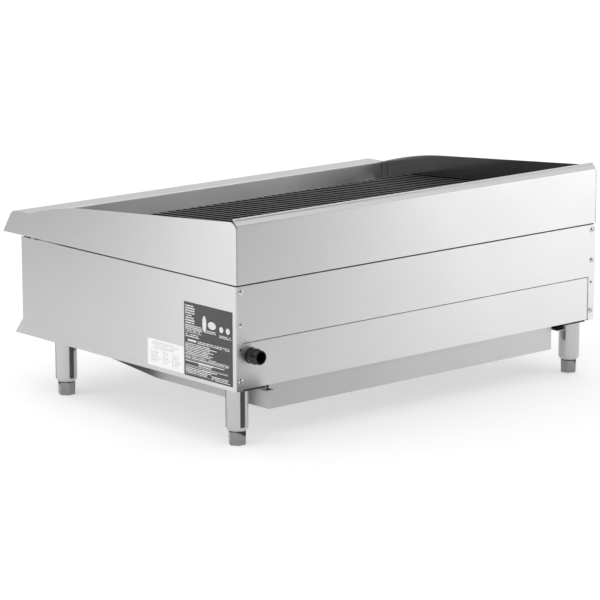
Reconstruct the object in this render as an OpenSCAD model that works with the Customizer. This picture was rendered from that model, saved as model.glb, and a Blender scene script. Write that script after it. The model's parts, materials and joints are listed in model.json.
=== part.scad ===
// Countertop gas radiant charbroiler, 36 inch class: six cast grates over six radiants and three burners.
// Frame: +X is the operator's right, -Y is the operator's side, +Z is up.
// The origin is on the counter, under the middle of the overall box.
// Lengths are in millimetres. "Depth" means the distance forward of the rear face.

/* [Body] */
// Width over the splash guard
body_w = 914; // [900:1:930]
// Depth from the rear face to the control panel's face
body_d = 635; // [625:1:650]
// Height of the body's underside above the counter
leg_h = 106; // [104:1:120]
// Height of the body panels
body_h = 190; // [188:1:196]
// Thickness of the steel sheet
sheet = 1.2; // [1:0.1:1.4]
// Height of the seam between the two rear panels, above the body's underside
rear_seam_h = 86.5; // [80:0.5:88]

/* [Splash guard] */
// Dark gap between the body and the guard
guard_gap = 2.5; // [2:0.5:3]
// Height of the rear guard
guard_h = 117.5; // [114:0.5:122]
// Size of the 45 degree bevel along the rear guard's top
guard_bevel = 12; // [10:0.5:13]
// How far the front rail reaches past the control panel
rail_reach = 58; // [54:1:60]
// Height of the front rail's deck above the guard's lower edge
deck_h = 44.5; // [43:0.5:46]
// Depth of the front rail's inner wall
deck_back = 610; // [606:1:612]

/* [Grates] */
// Bars in each grate section
bar_count = 8; // [6:1:8]
// Thickness of a bar
bar_w = 7; // [6:0.5:8]
// Height of a bar
bar_h = 22; // [20:1:23]
// Slope of the grates, down towards the operator
grate_tilt = 3.5; // [3:0.25:3.75]
// Depth of the bars' front tips
grate_front = 533; // [530:1:536]
// Height of the bars' front tips
grate_front_z = 326; // [325:0.5:328]

/* [Burners] */
// Height of the burner, valve and knob axis
burner_z = 205; // [202:1:208]
// Height of the radiants' feet
radiant_z = 244; // [242:1:246]

/* [Gas line] */
// Outer diameter of the 3/4 inch gas pipe
pipe_d = 26.7; // [26:0.1:27]
// Bore of the gas pipe
pipe_bore = 20.9; // [20:0.1:21]
// Distance of the gas line from the body's middle
pipe_x = 420.5; // [420:0.5:423]
// Height of the gas line
pipe_z = 167.7; // [166:0.1:169]
// How far the inlet nipple stands out behind the rear face
inlet_out = 24; // [22:1:30]

/* [Knobs] */
// Diameter of a knob
knob_d = 50; // [46:1:54]
// Depth of a knob from its face to its skirt
knob_l = 26; // [24:1:30]

/* [Drip tray] */
// Outer width of the drip tray
tray_w = 724; // [710:1:728]
// Height of the tray's floor at the rear
tray_floor_z = 56; // [54:1:60]
// Depth at which the tray's floor starts to rise
tray_knee = 345; // [330:5:360]
// How far the tray's floor rises towards the front
tray_rise = 30; // [20:1:32]

/* [Legs] */
// Diameter of a leg tube
leg_d = 41; // [40:1:44]
// Distance of a leg's axis from the body's middle
leg_x = 425.4; // [424:0.1:427]
// Depth of the rear legs
leg_rear = 37; // [36:1:42]
// Depth of the front legs
leg_front = 541; // [530:1:545]
// Height of the hexagonal foot below the leg tube
foot_h = 25; // [22:1:28]

/* [Hidden] */
$fn = 48;
eps = 0.01;

// The flats of a folded sheet are this much inside the bends' faces, and run this far into them
bend_step = 0.01;
bend_lap = 0.1;

// Overall box: the rail's tip is its front and the inlet nipple its rear
overall_d = body_d + rail_reach + inlet_out;
rear_y = overall_d / 2 - inlet_out;
half_w = body_w / 2;
body_half = half_w - 0.3;
body_top = leg_h + body_h;
guard_z = body_top + guard_gap;
overall_h = guard_z + guard_h;
deck_z = guard_z + deck_h;
rail_tip = body_d + rail_reach;

// Body skin
flange_w = 17;
kick_h = 31;
kick_out = 25;
seam_gap = 2;
rear_seam_z = leg_h + rear_seam_h;
panel_inset = 1.4;
screw_x = body_half - 10.2;
screw_heights = [leg_h + 19.4, leg_h + 119.8, leg_h + 179.7];
spare_hole_z = leg_h + 75.7;
screw_hole_r = 2.3;
screw_head_r = 4.5;
screw_head_h = 2.4;

// Splash guard
guard_sheet = 1.5;
guard_inner = half_w - guard_sheet;
rail_end_gap = 0.5;
guard_seam = 0.8;
rail_half = guard_inner - rail_end_gap;
ridge_r = 18;
ridge_run = 29.3;
ridge_half = (90 - atan2(ridge_run, deck_h)) / 2;
deck_bend_r = 2;
rail_wall_bottom = guard_z - 2.5;
rail_tab_w = 8;
rail_tab_l = 16;
curve_start = [608, deck_z + 0.2];
curve_middle = [512, deck_z + 27];
curve_end = [440, deck_z + 32.8];
side_top_rear = [12, deck_z + 67.5];
side_corner_z = overall_h - 16;

// Firebox
liner_x = 405;
liner_reach = half_w - 5;
liner_knee_z = 235;
liner_top_z = guard_z - 2.6;
liner_bottom = leg_h + 32;
firebox_rear_d = 50;
firebox_front_d = 552;
trough_drop = 14;
ledge_w = 14;

// Grates
grate_count = 6;
side_clear = 4;
section_pitch = (2 * guard_inner - 2 * side_clear) / grate_count;
bar_pitch = 19.05;
grate_len = 514;
rest_h = 7.2;
rest_w = 18;
rest_gap = 0.3;
front_rest_y = 8;
rear_rest_y = 487;

// Burners and radiants
burner_count = 3;
fire_pitch = (2 * liner_x - 10) / grate_count;
burner_pitch = 2 * fire_pitch;
burner_leg_w = 44;
burner_leg_h = 30;
burner_wall = 4;
burner_leg_front = 505;
burner_leg_rear = 72;
venturi_r = 16;
venturi_front = 574;
radiant_t = 4;

// Gas line and controls
pipe_top = pipe_z + pipe_d / 2;
manifold_d = 600;
elbow_r = 20;
coupling_r = 14.6;
coupling_out = 12;
coupling_in = 10;
coupling_clear = 0.4;
stem_r = 4;
stem_fit = 0.05;
stem_seat = 0.1;
valve_r = 12;
valve_front = 622;
valve_rear = 590;
bezel_r = 31;
bezel_t = 1.5;
knob_gap = 0.6;
pilot_offset = 34;
pilot_r = 3;

// Base, runners and tray
base_z = leg_h + 2;
base_rail_in = 386;
base_rail_out = body_half - flange_w - 0.4;
base_rail_h = 29;
base_t = 2;
base_front = body_d - 12;
runner_in = tray_w / 2 + 1.5;
runner_out = runner_in + 20;
runner_t = 1.2;
runner_drop = 11.4;
tray_rear = 24;
tray_front = 640;
tray_flange_w = 10;
tray_flange_z = leg_h - 9.9;
tray_rear_top = leg_h - 2;
tray_front_top = leg_h - 3;
handle_w = 150;
handle_reach = 30;
handle_wire_r = 4;
handle_z = leg_h - 11;
gusset_t = 5;
gusset_half = 32;

// Legs and feet
foot_gap = 0.5;
foot_r = 17.2;
foot_taper = 0.95;
stem_foot_r = 8;
stem_foot_l = 42;
foot_fit = 0.08;
leg_wall = 1.8;
leg_plug = 10;
leg_cap = 4;
leg_shoulder_h = 9;
leg_shoulder_in = 5.2;
leg_shoulder_r = (pow(leg_shoulder_h, 2) + pow(leg_shoulder_in, 2)) / (2 * leg_shoulder_in);

// Labels
label_t = 0.2;

// ---------- helpers ----------

function unit(v) = v / norm(v);
function fwd(d) = rear_y - d;
function cross2(a, b) = a[0] * b[1] - a[1] * b[0];
function mix(a, b, t) = a + (b - a) * t;
function quadratic(a, b, c, t) = mix(mix(a, b, t), mix(b, c, t), t);
function turn(path, i) =
    let (a = unit(path[i] - path[i - 1]), b = unit(path[i + 1] - path[i])) atan2(cross2(a, b), a * b);
function radius_at(r, i) = is_list(r) ? r[i] : r;
function trim_at(path, r, i) =
    (i == 0 || i == len(path) - 1) ? 0 : radius_at(r, i) * tan(abs(turn(path, i)) / 2);

// Draws in the (depth, height) plane and runs along X from x0 to x1
module along_x(x0, x1) {
    translate([x0, rear_y, 0]) rotate([90, 0, 90]) linear_extrude(x1 - x0) mirror([1, 0]) children();
}

// Draws in the (x, height) plane and runs from depth d0 forward to depth d1
module along_depth(d0, d1) {
    translate([0, fwd(d0), 0]) rotate([90, 0, 0]) linear_extrude(d1 - d0) children();
}

// Draws in the (x, depth) plane and rises from z0 to z1
module upright(z0, z1) {
    translate([0, rear_y, z0]) mirror([0, 1, 0]) linear_extrude(z1 - z0) children();
}

// Box between two corners given as x, depth, height
module block(a, b) {
    translate([a[0], fwd(b[1]), a[2]]) cube([b[0] - a[0], b[1] - a[1], b[2] - a[2]]);
}

// Round bar along the depth, from depth d0 to d1
module rod_y(x, z, r, d0, d1) {
    translate([x, fwd(d0), z]) rotate([90, 0, 0]) cylinder(r = r, h = d1 - d0);
}

module mirrored(side) {
    if (side > 0) children();
    else mirror([1, 0, 0]) children();
}

// A straight length of sheet
module flat_strip(a, b, t) {
    translate(a) rotate(atan2(b[1] - a[1], b[0] - a[0])) translate([0, -t / 2]) square([norm(b - a), t]);
}

// One rounded bend of a folded sheet
module bend(path, i, r, t) {
    angle = turn(path, i);
    side = sign(angle);
    dir = unit(path[i] - path[i - 1]);
    normal = [-dir[1], dir[0]] * side;
    centre = path[i] - dir * trim_at(path, r, i) + normal * radius_at(r, i);
    start = atan2(-normal[1], -normal[0]);
    reach = radius_at(r, i) + 2 * t;
    translate(centre) rotate(start) intersection() {
        difference() {
            circle(r = radius_at(r, i) + t / 2);
            circle(r = radius_at(r, i) - t / 2);
        }
        polygon([[0, 0], [reach, 0],
                 [reach * cos(angle / 2), reach * sin(angle / 2)] / cos(angle / 2),
                 [reach * cos(angle), reach * sin(angle)]]);
    }
}

// A straight length runs a little way into each bend, so that the two join
function lap_at(path, i) = (i == 0 || i == len(path) - 1) ? 0 : bend_lap;

// A sheet of thickness t folded along a path, with bend radii r at its middle surface
module folded(path, r = 2, t = sheet) {
    last = len(path) - 1;
    for (i = [0:last - 1]) {
        dir = unit(path[i + 1] - path[i]);
        from = trim_at(path, r, i) - lap_at(path, i);
        to = trim_at(path, r, i + 1) - lap_at(path, i + 1);
        flat_strip(path[i] + dir * from, path[i + 1] - dir * to, t - 2 * bend_step);
    }
    for (i = [1:last - 1]) bend(path, i, r, t);
}

// ---------- body skin ----------

module side_outline() {
    polygon([[sheet, leg_h], [sheet, body_top], [body_d, body_top],
             [body_d, leg_h + kick_h], [body_d + kick_out, leg_h]]);
}

module side_panel(side) {
    corner_x = body_half - sheet / 2;
    mirrored(side) difference() {
        union() {
            intersection() {
                upright(leg_h, body_top)
                    folded([[body_half - flange_w, sheet * 1.5], [corner_x, sheet * 1.5],
                            [corner_x, rail_tip]]);
                along_x(body_half - 2 * flange_w, half_w) side_outline();
            }
            block([body_half - flange_w, 2 * sheet, leg_h],
                  [body_half - sheet / 2, body_d - 2, leg_h + sheet]);
        }
        for (z = concat(screw_heights, [spare_hole_z])) rod_y(screw_x, z, screw_hole_r, -1, 6);
    }
}

module rear_panel_upper() {
    difference() {
        union() {
            block([-half_w + panel_inset, 0, rear_seam_z + 1], [half_w - panel_inset, sheet, body_top]);
            block([-body_half + flange_w + 1, sheet - eps, body_top - sheet],
                  [body_half - flange_w - 1, 14, body_top]);
        }
        for (x = [-screw_x, screw_x], z = [screw_heights[1], screw_heights[2]])
            rod_y(x, z, screw_hole_r, -1, 6);
    }
}

module rear_panel_lower() {
    inner = 2 * sheet;
    difference() {
        block([-half_w + 3, inner, base_z], [half_w - 3, inner + sheet, rear_seam_z + 1 - seam_gap]);
        for (x = [-screw_x, screw_x], z = [screw_heights[0], spare_hole_z]) rod_y(x, z, screw_hole_r, -1, 6);
        rod_y(pipe_x, pipe_z, coupling_r + coupling_clear, -1, 6);
    }
}

module control_panel() {
    face = body_d - sheet / 2;
    low = leg_h + sheet / 2;
    difference() {
        along_x(-half_w + panel_inset + 0.2, half_w - panel_inset - 0.2)
            folded([[body_d - 18, body_top - sheet / 2], [face, body_top - sheet / 2],
                    [face, leg_h + kick_h], [face + kick_out, low], [face + kick_out - 14, low]], 1.5);
        for (i = [1:burner_count]) rod_y(burner_x(i), burner_z, stem_r + 1.5, body_d - 6, body_d + 2);
    }
}

// ---------- splash guard ----------

module guard_side_outline() {
    curve = [for (t = [0:0.1:1]) quadratic(curve_start, curve_middle, curve_end, t)];
    ridge = [rail_tip - ridge_run, deck_z];
    centre = [ridge[0] - ridge_r * tan(ridge_half), deck_z - ridge_r];
    steps = 6;
    arc = [for (k = [0:steps])
           let (a = 90 - 2 * ridge_half * k / steps) centre + ridge_r * [cos(a), sin(a)]];
    polygon(concat([[0, guard_z], [0, side_corner_z], [3, side_corner_z + 4.5], side_top_rear + [-3, -2.2],
                    side_top_rear + [3, -0.4]],
                   [for (i = [len(curve) - 1:-1:0]) curve[i]], arc, [[rail_tip, guard_z]]));
}

module splash_side(side) {
    mirrored(side) along_x(guard_inner, half_w) guard_side_outline();
}

module splash_rear() {
    face = sheet / 2;
    hem_r = 0.6 * sheet;
    hem_l = 2.2;
    knee = overall_h - guard_bevel;
    run = guard_bevel - hem_r - sheet / 2;
    ridge = [face + run, knee + run];
    hem = ridge + sqrt(2) * hem_r * [-1, 1];
    along_x(-guard_inner + guard_seam, guard_inner - guard_seam)
        folded([[face, guard_z], [face, knee], ridge, hem, hem - [hem_l, hem_l]],
               [0, 2 * sheet, hem_r, hem_r, 0]);
}

module front_rail() {
    wall = deck_back + sheet / 2;
    top = deck_z - sheet / 2;
    sole = guard_z + sheet / 2;
    tab_top = top - deck_bend_r;
    tab_x = rail_half - sheet / 2;
    cut_in = rail_half - rail_tab_w;
    difference() {
        along_x(-rail_half, rail_half)
            folded([[body_d + 2, sole], [rail_tip - 1.2, sole], [rail_tip - ridge_run - 0.5, top],
                    [wall, top], [wall, rail_wall_bottom]], [0, 2, ridge_r, deck_bend_r, 0]);
        for (side = [-1, 1]) mirrored(side)
            block([cut_in, deck_back - 2, rail_wall_bottom - 1],
                  [rail_half + 1, deck_back + 4, tab_top]);
    }
    for (side = [-1, 1]) mirrored(side) upright(rail_wall_bottom, tab_top)
        folded([[cut_in, wall], [tab_x, wall], [tab_x, deck_back - rail_tab_l]], 4);
}

// ---------- firebox ----------

module firebox_side(side) {
    mirrored(side) along_depth(firebox_rear_d + 1, firebox_front_d - 1)
        folded([[liner_x + 12, liner_bottom], [liner_x, liner_bottom], [liner_x, liner_knee_z],
                [liner_x + 38, liner_top_z], [liner_reach, liner_top_z]]);
}

module ledge(d0, d1, z) {
    block([-liner_x + 2, d0, z - sheet], [liner_x - 2, d1, z]);
}

module firebox_rear() {
    top = rear_rest_bottom() - 0.3 - sheet / 2;
    difference() {
        union() {
            along_x(-liner_reach, liner_reach)
                folded([[5, top], [firebox_rear_d, top], [firebox_rear_d, liner_bottom],
                        [firebox_rear_d - 12, liner_bottom]]);
            ledge(firebox_rear_d, firebox_rear_d + ledge_w, radiant_z - 0.5);
            ledge(firebox_rear_d, firebox_rear_d + ledge_w + 16, burner_z - burner_leg_h / 2 - 0.5);
        }
        rod_y(pipe_x, pipe_z, pipe_d / 2 + 1, firebox_rear_d - 5, firebox_rear_d + 5);
    }
}

module firebox_front() {
    top = guard_z + 0.5;
    lip = deck_back - sheet / 2 - 0.1;
    notch_in = rail_half - rail_tab_w - 1;
    notch_d = deck_back - rail_tab_l - 3;
    difference() {
        union() {
            along_x(-liner_reach, liner_reach)
                folded([[lip, top + 8], [lip, top], [firebox_front_d, top - trough_drop],
                        [firebox_front_d, liner_bottom], [firebox_front_d + 12, liner_bottom]]);
            ledge(firebox_front_d - ledge_w, firebox_front_d, radiant_z - 0.5);
        }
        for (side = [-1, 1]) mirrored(side)
            block([notch_in, notch_d, top - trough_drop], [half_w, deck_back + 1, top + 9]);
        rod_y(pipe_x, pipe_z, pipe_d / 2 + 1, firebox_front_d - 5, firebox_front_d + 5);
        for (i = [1:burner_count]) {
            rod_y(burner_x(i), burner_z, venturi_r + 2, firebox_front_d - 5, firebox_front_d + 5);
            rod_y(burner_x(i) + pilot_offset, burner_z, pilot_r + 1.5,
                  firebox_front_d - 5, firebox_front_d + 5);
        }
    }
}

// ---------- grates ----------

function section_x(i) = (i - (grate_count + 1) / 2) * section_pitch;
function rear_rest_bottom() =
    grate_front_z + rear_rest_y * sin(grate_tilt) - (bar_h + rest_gap + rest_h) * cos(grate_tilt);

// Frame of the tilted grates: y runs to the rear along the bars, z = 0 is the cooking surface
module grate_frame(x = 0) {
    translate([x, fwd(grate_front), grate_front_z]) rotate([grate_tilt, 0, 0]) children();
}

module bar_section() {
    half = bar_w / 2;
    polygon([[-half + 1, 0], [half - 1, 0], [half - 0.3, -1.5], [half, -bar_h + 2], [half - 1, -bar_h],
             [-half + 1, -bar_h], [-half, -bar_h + 2], [-half + 0.3, -1.5]]);
}

module bar_side() {
    polygon([[0, -11], [0, -4.5], [1, -1.8], [3.5, -0.4], [6, 0], [grate_len - 6, 0], [grate_len - 1.5, -2],
             [grate_len, -6], [grate_len, -bar_h], [16, -bar_h], [6, -15]]);
}

module grate_bar() {
    intersection() {
        translate([0, grate_len + 5, 0]) rotate([90, 0, 0]) linear_extrude(grate_len + 10) bar_section();
        translate([-bar_w, 0, 0]) rotate([90, 0, 90]) linear_extrude(2 * bar_w) bar_side();
    }
}

module grate(i) {
    rib_w = 9;
    span = (bar_count - 1) * bar_pitch;
    grate_frame(section_x(i)) union() {
        for (k = [0:bar_count - 1]) translate([(k - (bar_count - 1) / 2) * bar_pitch, 0, 0]) grate_bar();
        for (y = [26, 172, 328, grate_len - 12 - rib_w])
            translate([-span / 2, y, -bar_h + 1]) cube([span, rib_w, bar_h - 10]);
    }
}

module grate_rest_front() {
    grate_frame() translate([-half_w + 8, front_rest_y, -bar_h - rest_gap - rest_h])
        cube([body_w - 16, rest_w, rest_h]);
}

module grate_rest_rear() {
    grate_frame() translate([-half_w + 8, rear_rest_y, -bar_h - rest_gap - rest_h])
        cube([body_w - 16, rest_w, rest_h]);
}

// ---------- radiants and burners ----------

function radiant_x(i) = (i - (grate_count + 1) / 2) * fire_pitch;

module radiant(i) {
    slope_w = 50;
    peak = 33;
    slots = 14;
    slot_pitch = 34;
    first = firebox_rear_d + 28;
    foot = radiant_z + radiant_t / 2;
    translate([radiant_x(i), 0, 0]) difference() {
        along_depth(firebox_rear_d + 1.5, firebox_front_d - 1.5)
            folded([[-slope_w - 9, foot], [-slope_w, foot], [0, foot + peak], [slope_w, foot],
                    [slope_w + 9, foot]], 5, radiant_t);
        for (k = [0:slots - 1], side = [-1, 1])
            mirrored(side) block([14, first + k * slot_pitch, radiant_z - 5],
                                 [40, first + k * slot_pitch + 10, radiant_z + 60]);
    }
}

function burner_x(i) = (i - (burner_count + 1) / 2) * burner_pitch;

// A rectangle with rounded corners, centred
module rounded_box_2d(w, h, r) {
    square([w - 2 * r, h], center = true);
    square([w, h - 2 * r], center = true);
    for (x = [-1, 1], y = [-1, 1]) translate([x * (w / 2 - r), y * (h / 2 - r)]) circle(r = r);
}

module burner(i) {
    leg_off = fire_pitch / 2;
    ports = 26;
    port_pitch = 16;
    cross_d = 300;
    inner_w = burner_leg_w - 2 * burner_wall;
    inner_h = burner_leg_h - 2 * burner_wall;
    translate([burner_x(i), 0, 0]) difference() {
        union() {
            for (x = [-leg_off, leg_off]) along_depth(burner_leg_rear, burner_leg_front)
                translate([x, burner_z]) rounded_box_2d(burner_leg_w, burner_leg_h, 8);
            along_x(-leg_off, leg_off)
                translate([cross_d, burner_z]) rounded_box_2d(46, burner_leg_h - 2, 8);
            rod_y(0, burner_z, venturi_r, cross_d, venturi_front);
            rod_y(0, burner_z, venturi_r + 1.6, venturi_front - 9, venturi_front);
        }
        for (x = [-leg_off, leg_off]) {
            block([x - inner_w / 2, burner_leg_rear + burner_wall, burner_z - inner_h / 2],
                  [x + inner_w / 2, burner_leg_front - burner_wall, burner_z + inner_h / 2]);
            for (k = [0:ports - 1])
                block([x - 13, burner_leg_rear + 14 + k * port_pitch, burner_z + inner_h / 2 - eps],
                      [x + 13, burner_leg_rear + 16 + k * port_pitch, burner_z + burner_leg_h]);
        }
        block([-leg_off, cross_d - 15, burner_z - 9], [leg_off, cross_d + 15, burner_z + 9]);
        rod_y(0, burner_z, venturi_r - 3.5, cross_d, venturi_front + 1);
    }
}

// ---------- gas line and controls ----------

module gas_manifold() {
    right = pipe_x - elbow_r;
    translate([-right, fwd(manifold_d), pipe_z]) rotate([0, 90, 0]) difference() {
        cylinder(d = pipe_d, h = 2 * right);
        translate([0, 0, 8]) cylinder(d = pipe_bore, h = 2 * right);
    }
}

module feed_pipe() {
    elbow_d = manifold_d - elbow_r;
    rim = 16.5;
    difference() {
        union() {
            rod_y(pipe_x, pipe_z, pipe_d / 2, coupling_in, elbow_d);
            translate([pipe_x - elbow_r, fwd(elbow_d), pipe_z]) rotate([0, 0, -90])
                rotate_extrude(angle = 90) translate([elbow_r, 0]) circle(r = rim);
            rod_y(pipe_x, pipe_z, rim + 1, elbow_d - 8, elbow_d);
        }
        rod_y(pipe_x, pipe_z, pipe_bore / 2, coupling_in - 1, elbow_d + eps);
        translate([pipe_x - elbow_r, fwd(elbow_d), pipe_z]) rotate([0, 0, -90])
            rotate_extrude(angle = 90) translate([elbow_r, 0]) circle(r = pipe_bore / 2);
    }
}

module inlet_fitting() {
    difference() {
        union() {
            rod_y(pipe_x, pipe_z, coupling_r, -coupling_out, coupling_in);
            rod_y(pipe_x, pipe_z, pipe_d / 2, -inlet_out, 0);
            rod_y(pipe_x, pipe_z, coupling_r + 1.2, sheet * 3 + 0.4, sheet * 3 + 5);
        }
        rod_y(pipe_x, pipe_z, pipe_bore / 2, -inlet_out - 1, coupling_in + 1);
    }
}

module valve(i) {
    x = burner_x(i);
    difference() {
        union() {
            rod_y(x, burner_z, valve_r, valve_rear, valve_front);
            rod_y(x, burner_z, 7, venturi_front + 4, valve_rear);
            translate([x, fwd(manifold_d), pipe_top + 0.1]) cylinder(r = 8, h = burner_z - pipe_top);
            translate([x, fwd(manifold_d), pipe_top + 3]) cylinder(r = 11, h = 6, $fn = 6);
        }
        rod_y(x, burner_z, stem_r + stem_fit, valve_front - 14, valve_front + 1);
        rod_y(x, burner_z, 1.2, venturi_front + 3, valve_rear + 2);
    }
}

module knob(i) {
    x = burner_x(i);
    back = body_d + bezel_t + knob_gap;
    front = back + knob_l;
    grips = 12;
    difference() {
        union() {
            rod_y(x, burner_z, knob_d / 2, back, back + 6);
            rod_y(x, burner_z, knob_d / 2 - 4, back + 5, front - 2);
            rod_y(x, burner_z, knob_d / 2 - 5.5, front - 3, front);
            block([x - 4, front - 1, burner_z - knob_d / 2 + 7],
                  [x + 4, front + 3, burner_z + knob_d / 2 - 7]);
        }
        for (k = [0:grips - 1]) translate([x, fwd(back + 8), burner_z]) rotate([0, k * 360 / grips + 15, 0])
            translate([knob_d / 2 - 1.2, 0, 0]) rotate([90, 0, 0]) cylinder(r = 4, h = knob_l);
        rod_y(x, burner_z, stem_r + stem_seat, back - 1, back + 14);
    }
    rod_y(x, burner_z, stem_r, valve_front - 12, back + 13);
}

module knob_bezels() {
    for (i = [1:burner_count]) difference() {
        rod_y(burner_x(i), burner_z, bezel_r, body_d, body_d + bezel_t);
        rod_y(burner_x(i), burner_z, stem_r + 1.5, body_d - 1, body_d + 3);
    }
}

// A small tube rises from the manifold, turns to the rear and ends in a pilot tip beside each burner
module pilot_line() {
    bend_r = 12;
    tip = 515;
    for (i = [1:burner_count]) {
        x = burner_x(i) + pilot_offset;
        translate([x, fwd(manifold_d), pipe_top + 0.1]) {
            cylinder(r = 5.5, h = 6, $fn = 6);
            cylinder(r = pilot_r, h = burner_z - bend_r - pipe_top);
        }
        translate([x, fwd(manifold_d) + bend_r, burner_z - bend_r]) rotate([0, -90, 0]) rotate([0, 0, 90])
            rotate_extrude(angle = 90) translate([bend_r, 0]) circle(r = pilot_r);
        rod_y(x, burner_z, pilot_r, tip, manifold_d - bend_r);
        rod_y(x, burner_z, pilot_r + 1.5, tip - 12, tip + 2);
    }
}

// ---------- base, runners and tray ----------

module base_rail(side) {
    bottom = base_z + base_t / 2;
    top = base_z + base_rail_h - base_t / 2;
    mirrored(side) along_depth(4 * sheet, base_front)
        folded([[base_rail_out, bottom], [base_rail_in + base_t / 2, bottom],
                [base_rail_in + base_t / 2, top], [base_rail_out, top]], 3, base_t);
}

module base_cross_rails() {
    bottom = base_z + base_t / 2;
    top = base_z + base_rail_h - base_t / 2;
    for (d = [6, 578]) along_x(-base_rail_in + 0.2, base_rail_in - 0.2)
        folded([[d + 36, bottom], [d, bottom], [d, top], [d + 36, top]], 3, base_t);
}

module tray_runner(side) {
    low = leg_h - runner_drop + runner_t / 2;
    high = base_z - runner_t / 2;
    mirrored(side) along_depth(8, base_front)
        folded([[runner_in, low], [runner_out - runner_t / 2, low], [runner_out - runner_t / 2, high],
                [runner_in, high]], 1.5, runner_t);
}

module tray_profile(inset, top) {
    floor_z = tray_floor_z + inset;
    polygon([[tray_rear + inset, floor_z], [tray_knee, floor_z], [tray_front - inset, floor_z + tray_rise],
             [tray_front - inset, top], [tray_rear + inset, top]]);
}

module drip_tray() {
    half = tray_w / 2;
    difference() {
        union() {
            along_x(-half, half) tray_profile(0, tray_rear_top);
            for (side = [-1, 1]) mirrored(side)
                block([half - eps, tray_rear + 2, tray_flange_z],
                      [half + tray_flange_w, tray_front - 2, tray_flange_z + sheet]);
        }
        along_x(-half + sheet, half - sheet) tray_profile(sheet, leg_h);
        block([-half - 1, tray_rear + 14, tray_flange_z + sheet], [half + 1, tray_front - 14, leg_h]);
        block([-half - 1, tray_front - 15, tray_front_top], [half + 1, tray_front + 1, leg_h]);
    }
}

module tray_handle() {
    reach = tray_front + handle_reach;
    r = 10;
    for (side = [-1, 1]) mirrored(side) {
        rod_y(handle_w / 2, handle_z, handle_wire_r, tray_front, reach - r);
        rod_y(handle_w / 2, handle_z, handle_wire_r + 3, tray_front, tray_front + 2);
        translate([handle_w / 2 - r, fwd(reach - r), handle_z]) rotate([0, 0, -90])
            rotate_extrude(angle = 90) translate([r, 0]) circle(r = handle_wire_r);
    }
    translate([-handle_w / 2 + r, fwd(reach), handle_z]) rotate([0, 90, 0])
        cylinder(r = handle_wire_r, h = handle_w - 2 * r);
}

module leg_gussets() {
    for (side = [-1, 1], d = [leg_rear, leg_front]) mirrored(side) difference() {
        block([runner_out + 0.5, d - gusset_half + 2, base_z - gusset_t],
              [base_rail_out - 1.5, d + gusset_half, base_z]);
        translate([leg_x, fwd(d), 0]) cylinder(r = leg_d / 2 + 0.1, h = base_z + 1);
    }
}

// ---------- legs and feet ----------

module at_leg(side, d) {
    translate([side * leg_x, fwd(d), 0]) children();
}

module leg_tube(side, d) {
    r = leg_d / 2;
    low = foot_h + foot_gap;
    shoulder_top = low + leg_shoulder_h;
    at_leg(side, d) difference() {
        rotate_extrude() {
            translate([0, shoulder_top]) square([r, leg_h - shoulder_top]);
            intersection() {
                translate([r - leg_shoulder_r, shoulder_top]) circle(r = leg_shoulder_r, $fn = 96);
                translate([0, low]) square([r, leg_shoulder_h]);
            }
            translate([0, low]) square([r - leg_shoulder_in - 1, leg_shoulder_h]);
        }
        translate([0, 0, low + leg_plug]) cylinder(r = r - leg_wall, h = leg_h - low - leg_plug - leg_cap);
        translate([0, 0, low - 1]) cylinder(r = stem_foot_r + foot_fit, h = leg_plug + 2);
    }
}

// The feet are screwed in by hand, so each hexagon stands at its own angle
module foot(side, d, angle) {
    at_leg(side, d) {
        rotate([0, 0, angle]) translate([0, 0, foot_h]) mirror([0, 0, 1])
            linear_extrude(foot_h, scale = foot_taper) circle(r = foot_r, $fn = 6);
        translate([0, 0, foot_h - eps]) cylinder(r = stem_foot_r, h = stem_foot_l);
    }
}

// ---------- fasteners and labels ----------

module screw(x, z, d) {
    slot = 0.9;
    difference() {
        union() {
            rod_y(x, z, screw_head_r, d - screw_head_h + 1, d);
            rod_y(x, z, screw_head_r - 1, d - screw_head_h, d);
            rod_y(x, z, screw_hole_r - 0.2, d, d + 9);
        }
        for (a = [30, 120]) translate([x, fwd(d - screw_head_h), z]) rotate([0, a, 0])
            cube([5, 2.6, slot], center = true);
    }
}

module panel_screws() {
    for (x = [-screw_x, screw_x]) {
        screw(x, screw_heights[0], sheet);
        screw(x, screw_heights[1], 0);
        screw(x, screw_heights[2], 0);
    }
}

module label(d0, d1, z0, z1) {
    block([body_half, d0, z0], [body_half + label_t, d1, z1]);
}

module rating_label() {
    label(11, 146, leg_h + 7.5, leg_h + 143);
}

module data_label() {
    label(147, 252, leg_h + 8, leg_h + 58.5);
}

// ---------- colours and output ----------

module steel() { color("#c9cacc") children(); }
module steel_dark() { color("#85878a") children(); }
module cast() { color("#2a2a2b") children(); }
module black() { color("#1b1b1c") children(); }

steel() side_panel(1);  // side_panel_right
steel() side_panel(-1);  // side_panel_left
steel() rear_panel_upper();
steel() rear_panel_lower();
steel() control_panel();
steel() splash_rear();
steel() splash_side(1);  // splash_side_right
steel() splash_side(-1);  // splash_side_left
steel() front_rail();
steel_dark() firebox_side(1);  // firebox_side_right
steel_dark() firebox_side(-1);  // firebox_side_left
steel_dark() firebox_rear();
steel_dark() firebox_front();
steel_dark() grate_rest_front();
steel_dark() grate_rest_rear();
cast() grate(1);  // grate_1
cast() grate(2);  // grate_2
cast() grate(3);  // grate_3
cast() grate(4);  // grate_4
cast() grate(5);  // grate_5
cast() grate(6);  // grate_6
cast() radiant(1);  // radiant_1
cast() radiant(2);  // radiant_2
cast() radiant(3);  // radiant_3
cast() radiant(4);  // radiant_4
cast() radiant(5);  // radiant_5
cast() radiant(6);  // radiant_6
cast() burner(1);  // burner_1
cast() burner(2);  // burner_2
cast() burner(3);  // burner_3
black() gas_manifold();
black() feed_pipe();
black() inlet_fitting();
color("#b08d4a") valve(1);  // valve_1
color("#b08d4a") valve(2);  // valve_2
color("#b08d4a") valve(3);  // valve_3
black() knob(1);  // knob_1
black() knob(2);  // knob_2
black() knob(3);  // knob_3
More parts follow.
